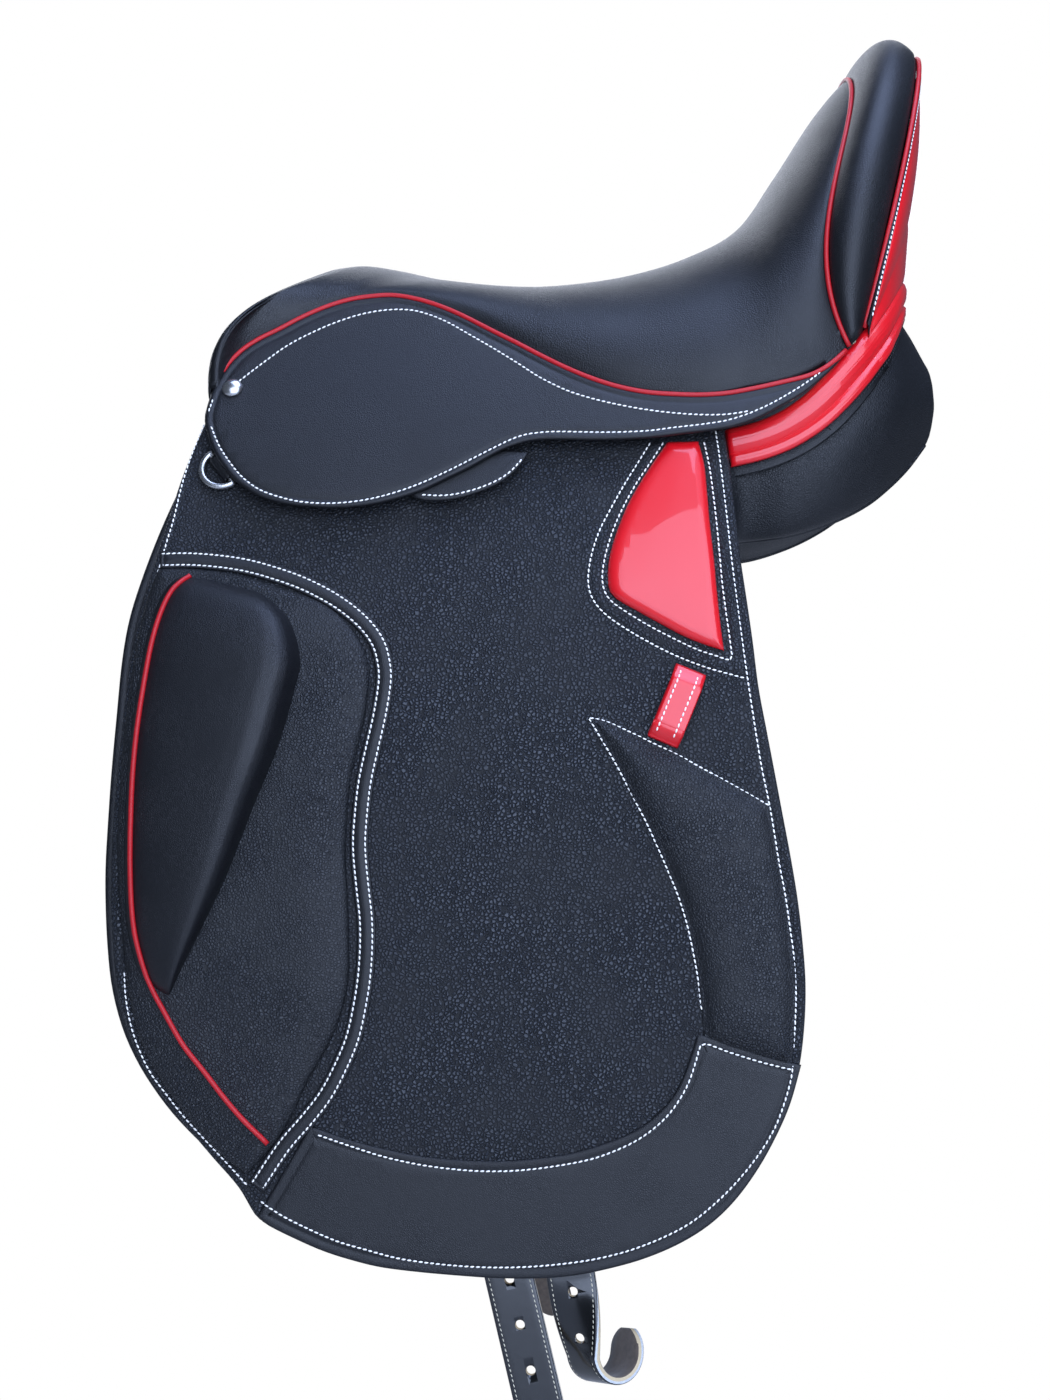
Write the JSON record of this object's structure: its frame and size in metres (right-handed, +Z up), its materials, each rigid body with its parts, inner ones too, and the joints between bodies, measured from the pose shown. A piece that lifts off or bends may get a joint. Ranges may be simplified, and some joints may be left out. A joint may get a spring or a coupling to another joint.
{
  "type": "dressage saddle",
  "caption": "Dressage saddle with deep seat, high cantle, long straight flaps, outside knee blocks, red piping and patent insets, and two long girth billets a side.",
  "frame": {"origin": "on the saddle's middle plane, between the two panels where they bear on the horse's back", "axes": "+Z up, +X from the pommel to the cantle, +Y to the horse's right side; the horse's left side, with the mounting side's flap, is -Y"},
  "size_m": [0.4589, 0.3982, 0.8139],
  "materials": {
    "black_leather": "fine-grained satin",
    "smooth_leather": "smooth satin",
    "grained_leather": "pebbled satin",
    "billet_leather": "glossy, pale cut edge",
    "red_patent_leather": "mirror gloss",
    "red_piping": "satin",
    "flocked_panel": "fine-grained leather over wool flock",
    "knee_block_foam": "smooth satin leather over foam",
    "seat_foam": "matte",
    "webbing": "woven matte",
    "laminated_wood": "lacquered",
    "forged_steel": "brushed",
    "chrome": "polished"
  },
  "bodies": {
    "saddle": {"seat_cover": "black_leather", "cantle_facing": "black_leather", "gullet_lining": "black_leather", "seat_foam": "seat_foam", "tree": "laminated_wood", "seat_webbing": "webbing", "head_plate": "forged_steel", "cantle_plate": "forged_steel", "cantle_back": "red_patent_leather", "cantle_band": "red_patent_leather", "cantle_front_piping": "red_piping", "cantle_rear_piping": "red_piping", "spring_L": "forged_steel", "panel_L": "flocked_panel", "upper_skirt_L": "smooth_leather", "skirt_piping_L": "red_piping", "nail_L": "chrome", "sweat_flap_L": "grained_leather", "girth_web_L": "webbing", "stirrup_bar_L": "forged_steel", "spring_R": "forged_steel", "panel_R": "flocked_panel", "upper_skirt_R": "smooth_leather", "skirt_piping_R": "red_piping", "nail_R": "chrome", "sweat_flap_R": "grained_leather", "girth_web_R": "webbing", "stirrup_bar_R": "forged_steel"},
    "flap_L": {"flap_L": "grained_leather", "knee_pad_L": "black_leather", "block_band_L": "grained_leather", "patent_inset_L": "red_patent_leather", "rear_pad_L": "black_leather", "lower_patch_L": "smooth_leather", "knee_block_L": "knee_block_foam", "block_piping_L": "red_piping", "strap_keeper_L": "red_patent_leather", "dring_chape_L": "black_leather"},
    "skirt_L": {"skirt_L": "smooth_leather", "under_skirt_L": "black_leather"},
    "dring_L": {"dring_L": "chrome"},
    "bar_catch_L": {"bar_catch_L": "forged_steel"},
    "front_billet_L": {"front_billet_L": "billet_leather"},
    "rear_billet_L": {"rear_billet_L": "billet_leather"},
    "flap_R": {"flap_R": "grained_leather", "knee_pad_R": "black_leather", "block_band_R": "grained_leather", "patent_inset_R": "red_patent_leather", "rear_pad_R": "black_leather", "lower_patch_R": "smooth_leather", "knee_block_R": "knee_block_foam", "block_piping_R": "red_piping", "strap_keeper_R": "red_patent_leather", "dring_chape_R": "black_leather"},
    "skirt_R": {"skirt_R": "smooth_leather", "under_skirt_R": "black_leather"},
    "dring_R": {"dring_R": "chrome"},
    "bar_catch_R": {"bar_catch_R": "forged_steel"},
    "front_billet_R": {"front_billet_R": "billet_leather"},
    "rear_billet_R": {"rear_billet_R": "billet_leather"}
  },
  "joints": [
    {"name": "flap_lift_L", "type": "hinge", "parent": "saddle", "child": "flap_L", "pos_m": [0, -0.12266, 0.055], "axis": [-0.9935, 0.1142, 0], "range_deg": [0, 70]},
    {"name": "skirt_lift_L", "type": "hinge", "parent": "flap_L", "child": "skirt_L", "pos_m": [0, -0.12266, 0.055], "axis": [-0.9935, 0.1142, 0], "range_deg": [0, 45]},
    {"name": "dring_swing_L", "type": "hinge", "parent": "flap_L", "child": "dring_L", "pos_m": [-0.1665, -0.10841, 0.0275], "axis": [-0.5691, 0.361, 0.7388], "range_deg": [0, 75]},
    {"name": "bar_catch_turn_L", "type": "hinge", "parent": "saddle", "child": "bar_catch_L", "pos_m": [-0.0433, -0.11838, 0.0425], "axis": [-0.1062, -0.9232, 0.3693], "range_deg": [0, 70]},
    {"name": "front_billet_swing_L", "type": "hinge", "parent": "saddle", "child": "front_billet_L", "pos_m": [-0.077, -0.14549, -0.116], "axis": [0.1138, 0.9892, -0.0923], "range_deg": [0, 15]},
    {"name": "rear_billet_swing_L", "type": "hinge", "parent": "saddle", "child": "rear_billet_L", "pos_m": [-0.019, -0.15216, -0.116], "axis": [-0.1138, -0.9892, 0.0923], "range_deg": [0, 15]},
    {"name": "flap_lift_R", "type": "hinge", "parent": "saddle", "child": "flap_R", "pos_m": [0, 0.12266, 0.055], "axis": [0.9935, 0.1142, 0], "range_deg": [0, 70]},
    {"name": "skirt_lift_R", "type": "hinge", "parent": "flap_R", "child": "skirt_R", "pos_m": [0, 0.12266, 0.055], "axis": [0.9935, 0.1142, 0], "range_deg": [0, 45]},
    {"name": "dring_swing_R", "type": "hinge", "parent": "flap_R", "child": "dring_R", "pos_m": [-0.1665, 0.10841, 0.0275], "axis": [0.5691, 0.361, -0.7388], "range_deg": [0, 75]},
    {"name": "bar_catch_turn_R", "type": "hinge", "parent": "saddle", "child": "bar_catch_R", "pos_m": [-0.0433, 0.11838, 0.0425], "axis": [0.1062, -0.9232, -0.3693], "range_deg": [0, 70]},
    {"name": "front_billet_swing_R", "type": "hinge", "parent": "saddle", "child": "front_billet_R", "pos_m": [-0.077, 0.14549, -0.116], "axis": [-0.1138, 0.9892, 0.0923], "range_deg": [0, 15]},
    {"name": "rear_billet_swing_R", "type": "hinge", "parent": "saddle", "child": "rear_billet_R", "pos_m": [-0.019, 0.15216, -0.116], "axis": [0.1138, -0.9892, -0.0923], "range_deg": [0, 15]}
  ]
}
